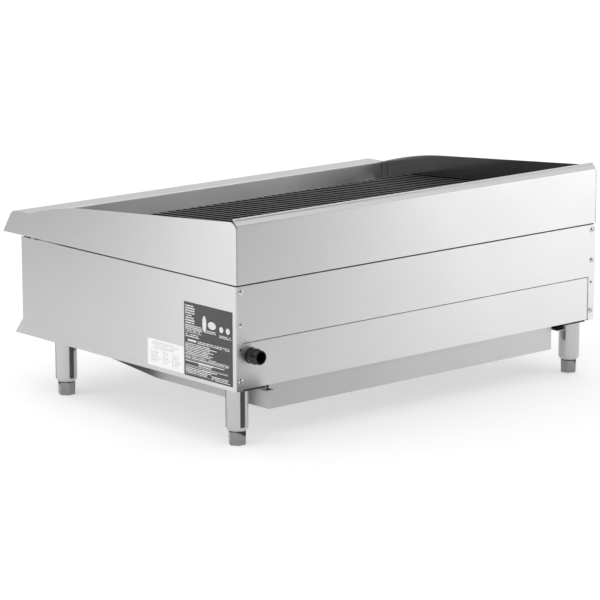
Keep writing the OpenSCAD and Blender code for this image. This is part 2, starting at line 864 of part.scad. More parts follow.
steel() knob_bezels();
steel_dark() pilot_line();
steel_dark() base_rail(1);  // base_rail_right
steel_dark() base_rail(-1);  // base_rail_left
steel_dark() base_cross_rails();
steel_dark() tray_runner(1);  // tray_runner_right
steel_dark() tray_runner(-1);  // tray_runner_left
steel() drip_tray();
steel() tray_handle();
black() leg_gussets();
steel() leg_tube(1, leg_rear);  // leg_rear_right
steel() leg_tube(-1, leg_rear);  // leg_rear_left
steel() leg_tube(1, leg_front);  // leg_front_right
steel() leg_tube(-1, leg_front);  // leg_front_left
steel() foot(1, leg_rear, 0);  // foot_rear_right
steel() foot(-1, leg_rear, 40);  // foot_rear_left
steel() foot(1, leg_front, 10);  // foot_front_right
steel() foot(-1, leg_front, 25);  // foot_front_left
steel() panel_screws();
color("#4d4f51") rating_label();
color("#ececec") data_label();
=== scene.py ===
"""Looks for a countertop gas charbroiler: procedural materials, detail pieces, soft studio light and camera.

Metres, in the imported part's frame: +X is the operator's right, -Y is the operator's side, +Z is up.
"""

import json
import math

import bmesh
import bpy
from mathutils import Matrix, Vector


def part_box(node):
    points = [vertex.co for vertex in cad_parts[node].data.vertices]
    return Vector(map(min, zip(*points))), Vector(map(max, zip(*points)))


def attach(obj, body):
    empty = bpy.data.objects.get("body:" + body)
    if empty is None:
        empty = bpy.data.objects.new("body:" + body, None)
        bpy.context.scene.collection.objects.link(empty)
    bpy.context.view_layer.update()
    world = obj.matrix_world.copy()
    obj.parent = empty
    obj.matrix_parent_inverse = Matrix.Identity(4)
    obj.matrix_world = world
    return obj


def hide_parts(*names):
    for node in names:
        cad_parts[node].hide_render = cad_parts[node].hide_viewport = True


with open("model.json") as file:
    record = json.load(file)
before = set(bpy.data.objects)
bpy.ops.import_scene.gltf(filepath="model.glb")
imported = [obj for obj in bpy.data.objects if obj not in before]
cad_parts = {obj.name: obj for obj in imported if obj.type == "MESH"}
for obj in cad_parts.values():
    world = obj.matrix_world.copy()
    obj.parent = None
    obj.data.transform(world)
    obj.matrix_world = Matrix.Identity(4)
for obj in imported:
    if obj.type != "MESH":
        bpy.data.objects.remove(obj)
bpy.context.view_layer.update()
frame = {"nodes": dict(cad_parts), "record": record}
NODES = frame["nodes"]
SLOT_OF = {entry["node"]: entry["material_slot"] for entry in frame["record"]["subparts"]}
BODY_OF = {node: body for body, nodes in frame["record"]["behaviour"]["bodies"].items() for node in nodes}
MM = 0.001

# The tint of bare stainless steel
COOL = (1.0, 1.0, 1.01)
# A sheet's face counts as an inner one from this far out, if it looks back towards the middle
INNER_FROM = 200.0 * MM
# The stainless slot gets painted shade below this level, where only the drip tray has it
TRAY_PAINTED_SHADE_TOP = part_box("drip_tray")[1][2] + 0.8 * MM
# The polished slot is darker below this level, on the feet
FOOT_FINISH_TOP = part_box("leg_rear_right")[0][2] - 0.2 * MM

# ---------- camera, worked out from the object's own straight edges ----------
CAMERA_AT = Vector((3.9115, 4.4427, 1.4201))
CAMERA_TARGET = Vector((0.3941, 0.4324, 0.2805))
CAMERA_ROLL_DEG = -0.043
CAMERA_LENS_MM = 187.52
SENSOR_MM = 36.0


# ---------- node helpers ----------

class Graph:
    """A material's node tree, with short calls for the nodes that the materials here share."""

    def __init__(self, name):
        self.material = bpy.data.materials.new(name)
        self.material.use_nodes = True
        self.tree = self.material.node_tree
        self.tree.nodes.clear()
        self.output = self.tree.nodes.new("ShaderNodeOutputMaterial")
        self.shader = self.tree.nodes.new("ShaderNodeBsdfPrincipled")
        self.join(self.shader.outputs["BSDF"], self.output.inputs["Surface"])

    def node(self, kind, **settings):
        made = self.tree.nodes.new(kind)
        for key, value in settings.items():
            setattr(made, key, value)
        return made

    def join(self, source, target):
        self.tree.links.new(source, target)

    def put(self, socket, value):
        """Links a socket, or sets a plain value."""
        if isinstance(value, bpy.types.NodeSocket):
            self.join(value, socket)
        else:
            socket.default_value = value

    def position(self):
        return self.node("ShaderNodeTexCoord").outputs["Object"]

    def normal(self):
        return self.node("ShaderNodeNewGeometry").outputs["Normal"]

    def vector(self, operation, a, b=(0.0, 0.0, 0.0)):
        made = self.node("ShaderNodeVectorMath", operation=operation)
        self.put(made.inputs[0], a)
        self.put(made.inputs[1], b)
        return made.outputs["Vector"]

    def math(self, operation, a, b=0.0):
        made = self.node("ShaderNodeMath", operation=operation)
        self.put(made.inputs[0], a)
        self.put(made.inputs[1], b)
        return made.outputs["Value"]

    def axis(self, vector, name):
        parts = self.node("ShaderNodeSeparateXYZ")
        self.join(vector, parts.inputs[0])
        return parts.outputs[name]

    def noise(self, vector, scale, detail=4.0, roughness=0.5):
        made = self.node("ShaderNodeTexNoise")
        self.join(vector, made.inputs["Vector"])
        made.inputs["Scale"].default_value = scale
        made.inputs["Detail"].default_value = detail
        made.inputs["Roughness"].default_value = roughness
        return made.outputs["Fac"]

    def cells(self, vector, scale):
        made = self.node("ShaderNodeTexVoronoi")
        self.join(vector, made.inputs["Vector"])
        made.inputs["Scale"].default_value = scale
        return made.outputs["Distance"]

    def chance(self, value):
        """A fixed random number from 0 to 1 for each whole number."""
        made = self.node("ShaderNodeTexWhiteNoise", noise_dimensions="1D")
        self.join(value, made.inputs["W"])
        return made.outputs["Value"]

    def all_of(self, *masks):
        whole = masks[0]
        for mask in masks[1:]:
            whole = self.math("MULTIPLY", whole, mask)
        return whole

    def any_of(self, *masks):
        whole = masks[0]
        for mask in masks[1:]:
            whole = self.math("MAXIMUM", whole, mask)
        return whole

    def between(self, value, low, high):
        return self.all_of(self.math("GREATER_THAN", value, low), self.math("LESS_THAN", value, high))

    def remap(self, value, low, high, to_low, to_high):
        made = self.node("ShaderNodeMapRange")
        self.put(made.inputs["Value"], value)
        made.inputs["From Min"].default_value = low
        made.inputs["From Max"].default_value = high
        made.inputs["To Min"].default_value = to_low
        made.inputs["To Max"].default_value = to_high
        return made.outputs["Result"]

    def blend(self, factor, a, b):
        made = self.node("ShaderNodeMix", data_type="RGBA")
        self.put(made.inputs["Factor"], factor)
        self.put(made.inputs["A"], a)
        self.put(made.inputs["B"], b)
        return made.outputs["Result"]

    def mix_value(self, factor, a, b):
        """The same as blend, for plain numbers."""
        made = self.node("ShaderNodeMix", data_type="FLOAT")
        self.put(made.inputs[0], factor)
        self.put(made.inputs[2], a)
        self.put(made.inputs[3], b)
        return made.outputs[0]

    def bump(self, height, depth):
        made = self.node("ShaderNodeBump")
        made.inputs["Strength"].default_value = 1.0
        made.inputs["Distance"].default_value = depth
        self.join(height, made.inputs["Height"])
        return made.outputs["Normal"]

    def finish(self, **sockets):
        """Sets the shader's own sockets, with _ for a space in their names."""
        for key, value in sockets.items():
            self.put(self.shader.inputs[key.replace("_", " ")], value)
        return self.material


def grey(level, tint=(1.0, 1.0, 1.0)):
    return (level * tint[0], level * tint[1], level * tint[2], 1.0)


# ---------- materials ----------

def grain(g, place, flat, along, across, detail):
    """Lines that run level round the walls, and from side to side on level faces."""
    on_wall = g.vector("MULTIPLY", place, (along, along, across))
    on_deck = g.vector("MULTIPLY", place, (along, across, along))
    return g.mix_value(flat, g.noise(on_wall, 1.0, detail), g.noise(on_deck, 1.0, detail))


def inner_face(g, place, facing, axis):
    """1 on a face that looks back towards the middle along an axis, and 0 elsewhere."""
    outward = g.math("MULTIPLY", g.axis(place, axis), g.axis(facing, axis))
    return g.math("LESS_THAN", outward, -INNER_FROM)


def brushed_steel(name, dark, light, rough_low, rough_high, anisotropy, inner_shine_and_painted_light=0.0,
                  grain_depth=0.004 * MM):
    """Sheet steel brushed level: fine lines along the sheet, faint wide streaks and slow changes of sheen.

    With a shine for the inner faces above 0, some areas differ, to match the photo's tones and not a known
    finish: the inner faces at the two sides are smoother and darker as painted shade, those at the front and
    rear paler as painted light, and the tray darker as painted shade.
    """
    g = Graph(name)
    place = g.position()
    facing = g.normal()
    flat = g.remap(g.math("ABSOLUTE", g.axis(facing, "Z")), 0.6, 0.8, 0.0, 1.0)
    lines = grain(g, place, flat, along=14.0, across=5200.0, detail=3.0)
    streaks = grain(g, place, flat, along=3.0, across=420.0, detail=2.0)
    cloud = g.noise(place, 7.0, 3.0)
    mixed = g.mix_value(0.22, lines, streaks)
    colour = g.blend(g.remap(mixed, 0.3, 0.7, 0.0, 1.0), dark, light)
    roughness = g.math("ADD", g.remap(lines, 0.3, 0.7, rough_low, rough_high),
                       g.remap(cloud, 0.35, 0.65, -0.015, 0.02))
    if inner_shine_and_painted_light:
        side_inner_gloss_and_painted_shade = inner_face(g, place, facing, "X")
        roughness = g.math("SUBTRACT", roughness, g.math("MULTIPLY", side_inner_gloss_and_painted_shade, inner_shine_and_painted_light))
        anisotropy = g.mix_value(side_inner_gloss_and_painted_shade, anisotropy, 0.15)
        # Painted shade: the inner faces at the two sides are made darker, standing in for the dark grates
        # they reflect
        colour = g.blend(side_inner_gloss_and_painted_shade, colour, grey(0.50))
        # Painted light: the inner faces at the front and rear are made paler
        colour = g.blend(inner_face(g, place, facing, "Y"), colour, grey(0.88))
        # Painted shade: the drip tray under the body is made darker
        tray_painted_shade = g.math("LESS_THAN", g.axis(place, "Z"), TRAY_PAINTED_SHADE_TOP)
        colour = g.blend(tray_painted_shade, colour, grey(0.50))
    # The sheen stretches across the grain: up the walls, and from front to rear on level faces
    lean = g.vector("MULTIPLY", facing, (0.01, 0.01, 0.01))
    across_grain = g.vector("NORMALIZE", g.vector("ADD", lean, (0.0, 0.02, 1.0)))
    return g.finish(Base_Color=colour, Metallic=1.0, Roughness=roughness, Anisotropic=anisotropy,
                    Tangent=across_grain, Normal=g.bump(lines, grain_depth))


def polished_tube(name, dark, light, rough_low=0.05, rough_high=0.10, foot_top=None):
    """Drawn stainless, polished round: fine rings, a trace of handling, and darker steel below foot_top."""
    g = Graph(name)
    place = g.position()
    rings = g.noise(g.vector("MULTIPLY", place, (30.0, 30.0, 3800.0)), 1.0, 3.0)
    smudge = g.noise(place, 38.0, 4.0)
    colour = g.blend(rings, grey(dark, COOL), grey(light, COOL))
    roughness = g.math("ADD", g.remap(rings, 0.3, 0.7, rough_low, rough_high),
                       g.remap(smudge, 0.4, 0.7, 0.0, 0.04))
    if foot_top is not None:
        on_foot = g.math("LESS_THAN", g.axis(place, "Z"), foot_top)
        colour = g.blend(on_foot, colour, grey(0.27))
    return g.finish(Base_Color=colour, Metallic=1.0, Roughness=roughness, Normal=g.bump(rings, 0.003 * MM))


def cast_iron(name, dark, light, rough, pits=0.10 * MM, metal=0.35, shine=0.35, painted_top_light=None):
    """Sand-cast iron, oiled: fine sand grain, shallow pits and patches.

    With a colour for the tops, faces that look up are painted lighter with it, as painted light in patches,
    and shine more.
    """
    g = Graph(name)
    place = g.position()
    sand = g.noise(place, 1500.0, 4.0, 0.6)
    lumps = g.noise(place, 330.0, 3.0)
    pit = g.cells(place, 520.0)
    patch = g.noise(place, 45.0, 4.0)
    coarse = g.math("ADD", lumps, g.math("MULTIPLY", pit, 0.6))
    height = g.math("ADD", g.math("MULTIPLY", sand, 0.5), coarse)
    colour = g.blend(g.remap(patch, 0.35, 0.65, 0.0, 1.0), dark, light)
    roughness = g.math("ADD", g.remap(sand, 0.3, 0.7, rough - 0.08, rough + 0.08),
                       g.remap(patch, 0.3, 0.7, -0.05, 0.05))
    if painted_top_light is not None:
        # Painted light: faces that look up are made lighter in patches, as if lit from above, and glossier
        upward = g.remap(g.axis(g.normal(), "Z"), 0.55, 0.95, 0.0, 1.0)
        painted_lit_tops = g.math("MULTIPLY", upward, g.remap(lumps, 0.3, 0.6, 0.7, 1.0))
        colour = g.blend(painted_lit_tops, colour, painted_top_light)
        roughness = g.math("SUBTRACT", roughness, g.math("MULTIPLY", painted_lit_tops, 0.18))
        metal = g.mix_value(painted_lit_tops, metal, 0.6)
    return g.finish(Base_Color=colour, Roughness=roughness, Metallic=metal, Specular_IOR_Level=shine,
                    Normal=g.bump(height, pits))


def painted_black(name, level, rough, peel=0.02 * MM):
    """Black coat on metal: slight orange peel and a sheen dulled in patches by dust and wear."""
    g = Graph(name)
    place = g.position()
    skin = g.noise(place, 900.0, 3.0)
    wear = g.noise(place, 60.0, 4.0)
    colour = g.blend(g.remap(wear, 0.4, 0.7, 0.0, 1.0), grey(level), grey(level * 2.2))
    roughness = g.math("ADD", g.remap(skin, 0.3, 0.7, rough - 0.05, rough + 0.06),
                       g.remap(wear, 0.4, 0.7, 0.0, 0.08))
    return g.finish(Base_Color=colour, Roughness=roughness, Normal=g.bump(skin, peel))


def machined_brass(name):
    """Turned brass: fine rings round an axis from front to rear, and patches of tarnish."""
    g = Graph(name)
    place = g.position()
    rings = g.noise(g.vector("MULTIPLY", place, (60.0, 3000.0, 60.0)), 1.0, 3.0)
    tarnish = g.noise(place, 90.0, 4.0)
    bright = (0.72, 0.53, 0.24, 1.0)
    dull = (0.50, 0.35, 0.15, 1.0)
    colour = g.blend(g.remap(tarnish, 0.35, 0.7, 0.0, 1.0), bright, dull)
    return g.finish(Base_Color=colour, Metallic=1.0, Roughness=g.remap(rings, 0.3, 0.7, 0.22, 0.36),
                    Normal=g.bump(rings, 0.004 * MM))


def drawn_tube(name):
    """Drawn tube: long fine lines from front to rear."""
    g = Graph(name)
    place = g.position()
    lines = g.noise(g.vector("MULTIPLY", place, (1800.0, 12.0, 1800.0)), 1.0, 3.0)
    colour = g.blend(lines, grey(0.62), grey(0.72))
    return g.finish(Base_Color=colour, Metallic=1.0, Roughness=g.remap(lines, 0.3, 0.7, 0.26, 0.38),
                    Normal=g.bump(lines, 0.004 * MM))


def moulded_plastic(name, level):
    """Moulded plastic: a fine texture and slow changes of tone."""
    g = Graph(name)
    place = g.position()
    texture = g.noise(place, 2200.0, 3.0)
    cloud = g.noise(place, 70.0, 3.0)
    colour = g.blend(cloud, grey(level), grey(level * 1.5))
    return g.finish(Base_Color=colour, Roughness=g.remap(texture, 0.3, 0.7, 0.30, 0.42),
                    Normal=g.bump(texture, 0.012 * MM))


# How much of each rule's pitch is ink, and how quickly the gaps between its words come, per mm
RULE_INK = 0.52
WORD_RATE = 0.42
# A number that keeps one rule's gaps apart from the next one's
ROW_STEP = 7.3


def rule_block(g, across, up, left, right, low, high, pitch, ragged, gaps):
    """A block of short plain rules, in mm on the label.

    Each rule ends up to ragged short of the right, and has more gaps with a higher gaps, from 0 to 1.
    """
    row = g.math("DIVIDE", up, pitch)
    number = g.math("FLOOR", row)
    on_rule = g.math("LESS_THAN", g.math("FRACT", row), RULE_INK)
    end = g.math("SUBTRACT", right, g.math("MULTIPLY", g.chance(number), ragged))
    word_place = g.node("ShaderNodeCombineXYZ")
    g.join(g.math("MULTIPLY", across, WORD_RATE), word_place.inputs["X"])
    g.join(g.math("MULTIPLY", number, ROW_STEP), word_place.inputs["Y"])
    words = g.math("GREATER_THAN", g.noise(word_place.outputs["Vector"], 1.0, 0.0), gaps)
    return g.all_of(on_rule, words, g.between(up, low, high), g.between(across, left, end))


def round_spot(g, across, up, x, y, width, height):
    """A plain filled ellipse, in mm on the label."""
    dx = g.math("DIVIDE", g.math("SUBTRACT", across, x), width / 2)
    dy = g.math("DIVIDE", g.math("SUBTRACT", up, y), height / 2)
    return g.math("LESS_THAN", g.math("ADD", g.all_of(dx, dx), g.all_of(dy, dy)), 1.0)


def label_film(name, node, ground, ink, edge, blocks, spots=(), edge_mm=1.0):
    """Printed film on the side panel: a plain ground, an edge line, blocks of plain rules and plain spots."""
    low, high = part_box(node)
    g = Graph(name)
    place = g.position()
    across = g.math("MULTIPLY", g.math("SUBTRACT", g.axis(place, "Y"), low[1]), 1 / MM)
    up = g.math("MULTIPLY", g.math("SUBTRACT", g.axis(place, "Z"), low[2]), 1 / MM)
    width = (high[1] - low[1]) / MM
    height = (high[2] - low[2]) / MM
    printed = g.any_of(*[rule_block(g, across, up, *block) for block in blocks],
                       *[round_spot(g, across, up, *spot) for spot in spots])
    inside = g.all_of(g.between(across, edge_mm, width - edge_mm), g.between(up, edge_mm, height - edge_mm))
    weave = g.noise(place, 1300.0, 3.0)
    colour = g.blend(printed, g.blend(weave, grey(ground), grey(ground * 1.12)), grey(ink))
    colour = g.blend(inside, grey(edge), colour)
    return g.finish(Base_Color=colour, Roughness=g.remap(weave, 0.3, 0.7, 0.34, 0.46),
                    Normal=g.bump(weave, 0.010 * MM))


# Each row: left, right, low, high, pitch and ragged, in mm from the label's lower left corner, then gaps
RATING_BLOCKS = [
    (3, 34, 96, 131, 4.4, 16, 0.36),
    (3, 54, 80, 95, 3.3, 12, 0.34),
    (4, 42, 71, 79, 3.6, 10, 0.36),
    (60, 92, 86, 92, 3.0, 6, 0.34),
    (98, 132, 84, 90, 3.0, 4, 0.34),
    (10, 34, 64, 69, 9.0, 0, 0.0),
    (38, 128, 62, 69, 3.0, 4, 0.34),
    (3, 92, 38, 62, 3.1, 24, 0.34),
    (3, 126, 31, 37, 3.0, 6, 0.32),
    (40, 88, 21, 29, 3.6, 14, 0.34),
    (3, 112, 27, 30, 3.0, 0, 0.14),
    (3, 122, 18, 20.5, 2.5, 0, 0.24),
    (3, 76, 4, 17, 2.9, 14, 0.34),
    (50, 92, 14, 17, 3.0, 0, 0.04),
    (76, 131, 3, 11, 2.9, 10, 0.34),
]
DATA_BLOCKS = [
    (14, 92, 40, 46, 3.4, 20, 0.34),
    (18, 84, 33, 39, 3.4, 14, 0.36),
    (10, 40, 8, 30, 3.6, 14, 0.39),
    (44, 66, 8, 30, 3.6, 10, 0.42),
    (70, 98, 8, 30, 3.6, 12, 0.40),
]
# Each row: the middle's place across and up, then the width and the height, in mm
RATING_SPOTS = [
    (57, 102, 11, 30),
    (78, 102, 22, 14),
    (104, 99, 11, 11),
    (122, 99, 11, 11),
]

# Greys of bare iron, a little warm
RADIANT_GREYS = [grey(level, (1.0, 0.96, 0.92)) for level in (0.05, 0.09)]
BURNER_GREYS = [grey(level, (1.0, 0.95, 0.90)) for level in (0.09, 0.15)]

MATERIALS = {
    "stainless": brushed_steel("stainless", grey(0.63, COOL), grey(0.68, COOL), 0.33, 0.39,
                               anisotropy=0.8, inner_shine_and_painted_light=0.22),
    "liner_steel": brushed_steel("liner_steel", grey(0.36), grey(0.46, (1.0, 0.99, 0.97)), 0.40, 0.50,
                                 anisotropy=0.3),
    "cast_iron": cast_iron("cast_iron", grey(0.004), grey(0.009), rough=0.56, metal=0.0, shine=0.04,
                           painted_top_light=grey(0.17)),
    "radiant_iron": cast_iron("radiant_iron", *RADIANT_GREYS, rough=0.62),
    "burner_iron": cast_iron("burner_iron", *BURNER_GREYS, rough=0.62),
    "black_pipe": painted_black("black_pipe", level=0.005, rough=0.17),
    "black_paint": painted_black("black_paint", level=0.012, rough=0.5),
    "brass": machined_brass("brass"),
    "knob_plastic": moulded_plastic("knob_plastic", level=0.016),
    "polished_steel": polished_tube("polished_steel", 0.46, 0.56, 0.07, 0.12, foot_top=FOOT_FINISH_TOP),
    "aluminium_tube": drawn_tube("aluminium_tube"),
    "screw_steel": polished_tube("screw_steel", 0.62, 0.74),
    "label_dark": label_film("label_dark", "rating_label", 0.052, 0.80, 0.025, RATING_BLOCKS, RATING_SPOTS),
    "label_pale": label_film("label_pale", "data_label", 0.90, 0.66, 0.84, DATA_BLOCKS),
}

for node_name, node_object in NODES.items():
    node_object.data.materials.clear()
    node_object.data.materials.append(MATERIALS[SLOT_OF[node_name]])

# ---------- detail pieces ----------

def stand_for(piece, node):
    """The piece is shown instead of a CAD node and moves with its body."""
    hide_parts(node)
    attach(piece, BODY_OF[node])


def new_piece(name, shape, node):
    """Turns a bmesh into a smooth-shaded object with a CAD node's material."""
    mesh = bpy.data.meshes.new(name)
    shape.to_mesh(mesh)
    shape.free()
    mesh.materials.append(MATERIALS[SLOT_OF[node]])
    mesh.polygons.foreach_set("use_smooth", [True] * len(mesh.polygons))
    piece = bpy.data.objects.new(name, mesh)
    bpy.context.scene.collection.objects.link(piece)
    return piece


def softened(node, width, weld=0.002 * MM, flat_deg=0.4, segments=2, sharp_deg=32.0):
    """Stands a copy of a CAD node, with its sharp edges rounded, in the node's place."""
    shape = bmesh.new()
    shape.from_mesh(NODES[node].data)
    bmesh.ops.remove_doubles(shape, verts=shape.verts, dist=weld)
    bmesh.ops.dissolve_limit(shape, angle_limit=math.radians(flat_deg), verts=shape.verts, edges=shape.edges)
    piece = new_piece(node + "_soft", shape, node)
    rounding = piece.modifiers.new("rounding", "BEVEL")
    rounding.width = width
    rounding.segments = segments
    rounding.limit_method = "ANGLE"
    rounding.angle_limit = math.radians(sharp_deg)
    rounding.harden_normals = True
    stand_for(piece, node)


def lathe(shape, profile, centre, turn, steps):
    """Adds a turned shape. The profile is a list of (radius, distance along the axis), from end to end."""
    rings = []
    for radius, along in profile:
        ring = []
        for k in range(steps):
            angle = 2 * math.pi * k / steps
            corner = Vector((radius * math.cos(angle), radius * math.sin(angle), along))
            ring.append(shape.verts.new(centre + turn @ corner))
        rings.append(ring)
    for one, two in zip(rings, rings[1:]):
        for k in range(steps):
            j = (k + 1) % steps
            shape.faces.new((one[k], one[j], two[j], two[k]))
    return rings


def add_turned(name, shape, node, smooth_deg):
    """Stands a turned shape in a CAD node's place. Edges that turn by more than smooth_deg stay crisp."""
    bmesh.ops.recalc_face_normals(shape, faces=shape.faces)
    for edge in shape.edges:
        edge.smooth = len(edge.link_faces) == 2 and edge.calc_face_angle(0.0) < math.radians(smooth_deg)
    stand_for(new_piece(name, shape, node), node)


# Turns a lathe's axis so that it points to the rear
TO_REAR = Matrix.Rotation(math.radians(-90.0), 3, "X")

# Panel screws: a pan head with a domed top and a cross recess, on a short shank
SCREW_HEAD_R = 5.4 * MM
SCREW_HEAD_H = 2.4 * MM
SCREW_EDGE_H = 0.5 * MM
SCREW_DOME_H = 1.886 * MM
SCREW_DOME_RINGS = 22
SCREW_SHANK_R = 2.0 * MM
SCREW_TIP_R = 0.02 * MM
CROSS_DEPTH = 1.1 * MM
CROSS_HALF_WIDTH = 0.7 * MM
CROSS_REACH = 2.9 * MM
# The cross's turn on each screw in order, over and over
CROSS_TURNS_DEG = (17, 64, 38, 5, 51, 80)


def screw_groups():
    """The CAD screws' corners in one group for each screw, because one node holds them all."""
    groups = []
    for vertex in NODES["panel_screws"].data.vertices:
        corner = vertex.co.copy()
        near = [group for group in groups if math.dist(corner.xz, group[0].xz) < 4 * SCREW_HEAD_R]
        if near:
            near[0].append(corner)
        else:
            groups.append([corner])
    return groups


def in_cross(across, up, turn):
    """True for a place on the head, measured from its centre, that is in the cross recess."""
    one = abs(across * math.cos(turn) + up * math.sin(turn))
    two = abs(up * math.cos(turn) - across * math.sin(turn))
    return min(one, two) < CROSS_HALF_WIDTH and max(one, two) < CROSS_REACH


def add_screws():
    """Pan-head screws with a cross recess, one at each of the CAD screws' places."""
    shape = bmesh.new()
    for k, group in enumerate(screw_groups()):
        low = Vector([min(corner[i] for corner in group) for i in range(3)])
        high = Vector([max(corner[i] for corner in group) for i in range(3)])
        head_back = high.y - SCREW_HEAD_H
        centre = Vector(((low.x + high.x) / 2, head_back, (low.z + high.z) / 2))
        shank = [(SCREW_TIP_R, low.y - head_back), (SCREW_SHANK_R, low.y - head_back), (SCREW_SHANK_R, 0.0)]
        edge = [(SCREW_HEAD_R, 0.0), (SCREW_HEAD_R, SCREW_EDGE_H)]
        dome = []
        for n in range(SCREW_DOME_RINGS + 1):
            slope = math.radians(88.0 - 86.0 * n / SCREW_DOME_RINGS)
            dome.append((SCREW_HEAD_R * math.sin(slope), SCREW_EDGE_H + SCREW_DOME_H * math.cos(slope)))
        rings = lathe(shape, shank + edge + dome, centre, TO_REAR, 72)
        shape.faces.new(rings[-1])
        shape.faces.new(reversed(rings[0]))
        turn = math.radians(CROSS_TURNS_DEG[k % len(CROSS_TURNS_DEG)])
        for ring in rings[-len(dome):]:
            for vertex in ring:
                if in_cross(vertex.co.x - centre.x, vertex.co.z - centre.z, turn):
                    vertex.co.y -= CROSS_DEPTH
    add_turned("panel_screw_heads", shape, "panel_screws", 40.0)


# Inlet: a flange behind the panel, a rolled collar, then a threaded nipple that is open at the end
NIPPLE_R = 13.3 * MM
NIPPLE_BORE_R = 10.45 * MM
NIPPLE_LENGTH = 12.0 * MM
THREAD_PITCH = 1.81 * MM
THREAD_DEPTH = 0.7 * MM
FLANGE_RIM = 1.2 * MM
FLANGE_END = 6.0 * MM
COLLAR_WAIST = 0.6 * MM


def thread_profile(start, end):
    """Flat-topped ridges, one for each whole pitch from start to end."""
    root_r = NIPPLE_R - THREAD_DEPTH
    profile = []
    for k in range(int((end - start) / THREAD_PITCH)):
        at = start + k * THREAD_PITCH
        profile += [(root_r, at + 0.10 * THREAD_PITCH), (NIPPLE_R, at + 0.45 * THREAD_PITCH),
                    (NIPPLE_R, at + 0.60 * THREAD_PITCH), (root_r, at + 0.95 * THREAD_PITCH)]
    return profile


def add_nipple():
    """The inlet fitting, turned from one profile that starts and ends at the bore's inner end."""
    low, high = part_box("inlet_fitting")
    centre = Vector(((low[0] + high[0]) / 2, low[1], (low[2] + high[2]) / 2))
    length = high[1] - low[1]
    flange_r = (high[0] - low[0]) / 2
    collar_r = flange_r - FLANGE_RIM
    waist_r = collar_r - COLLAR_WAIST
    root_r = NIPPLE_R - THREAD_DEPTH
    collar_end = length - NIPPLE_LENGTH
    flange = [(NIPPLE_BORE_R, 0.0), (collar_r, 0.0), (collar_r, 1.2 * MM), (flange_r, 1.6 * MM),
              (flange_r, FLANGE_END)]
    collar = [(collar_r, FLANGE_END + 0.5 * MM), (waist_r, FLANGE_END + 2.0 * MM),
              (waist_r, collar_end - 4.0 * MM), (collar_r, collar_end - 3.2 * MM),
              (collar_r, collar_end - 0.8 * MM), (collar_r - 0.8 * MM, collar_end)]
    mouth = [(root_r, length - 0.4 * MM), (root_r - 0.6 * MM, length), (NIPPLE_BORE_R + 0.4 * MM, length),
             (NIPPLE_BORE_R, length - 0.5 * MM), (NIPPLE_BORE_R, 0.0)]
    shape = bmesh.new()
    lathe(shape, flange + collar + thread_profile(collar_end, length) + mouth, centre, TO_REAR, 96)
    bmesh.ops.remove_doubles(shape, verts=shape.verts, dist=0.001 * MM)
    add_turned("inlet_nipple", shape, "inlet_fitting", 50.0)


# How far each kind of part's edges are rounded, by the start of its name. The longest start that fits wins.
ROUNDINGS = {
    "grate_": 0.55 * MM,
    "grate_rest_": 0.6 * MM,
    "radiant_": 0.7 * MM,
    "burner_": 1.2 * MM,
    "valve_": 0.5 * MM,
    "knob_": 0.7 * MM,
    "foot_": 0.7 * MM,
    "leg_gussets": 0.5 * MM,
}
KEPT_CRISP = ("knob_bezels",)
for node_name in NODES:
    starts = [start for start in ROUNDINGS if node_name.startswith(start)]
    if starts and node_name not in KEPT_CRISP:
        softened(node_name, ROUNDINGS[max(starts, key=len)])
add_screws()
add_nipple()

# ---------- floor, light and camera ----------

# The floor gives off some light itself, so that it stays evenly pale and the shadows on it stay soft
FLOOR_GLOW = 0.50


def floor_material():
    """Pale matt floor, faintly speckled."""
    g = Graph("floor")
    place = g.position()
    speck = g.noise(place, 30.0, 4.0)
    return g.finish(Base_Color=g.blend(speck, grey(0.57), grey(0.60)), Roughness=0.75, Specular_IOR_Level=0.1,
                    Emission_Color=grey(1.0), Emission_Strength=FLOOR_GLOW)


def add_floor(half=9.0):
    """A level floor under the feet, which reaches this far each way from the middle."""
    mesh = bpy.data.meshes.new("floor")
    corners = [(-half, -half, 0.0), (half, -half, 0.0), (half, half, 0.0), (-half, half, 0.0)]
    mesh.from_pydata(corners, [], [(0, 1, 2, 3)])
    floor = bpy.data.objects.new("floor", mesh)
    bpy.context.scene.collection.objects.link(floor)
    mesh.materials.append(floor_material())


def add_softbox(name, at, toward, width, height, radiance):
    """A softbox that the camera doesn't see itself, of the same brightness from edge to edge."""
    data = bpy.data.lights.new(name, "AREA")
    data.shape = "RECTANGLE"
    data.size = width
    data.size_y = height
    data.energy = radiance * math.pi * width * height
    lamp = bpy.data.objects.new(name, data)
    lamp.location = at
    lamp.rotation_euler = (Vector(toward) - Vector(at)).to_track_quat("-Z", "Y").to_euler()
    lamp.visible_camera = False
    bpy.context.scene.collection.objects.link(lamp)


def add_flag(name, corner, along, height, level=0.02):
    """A black studio flag that shades one part of the walls' reflections. It casts no shadow."""
    low = Vector((corner[0], corner[1], 0.0))
    side = Vector((along[0], along[1], 0.0))
    up = Vector((0.0, 0.0, height))
    mesh = bpy.data.meshes.new(name)
    mesh.from_pydata([low, low + side, low + side + up, low + up], [], [(0, 1, 2, 3)])
    g = Graph(name)
    weave = g.noise(g.position(), 400.0, 3.0)
    mesh.materials.append(g.finish(Base_Color=g.blend(weave, grey(level), grey(level * 1.5)), Roughness=0.9))
    flag = bpy.data.objects.new(name, mesh)
    flag.visible_camera = False
    flag.visible_shadow = False
    bpy.context.scene.collection.objects.link(flag)
    return flag


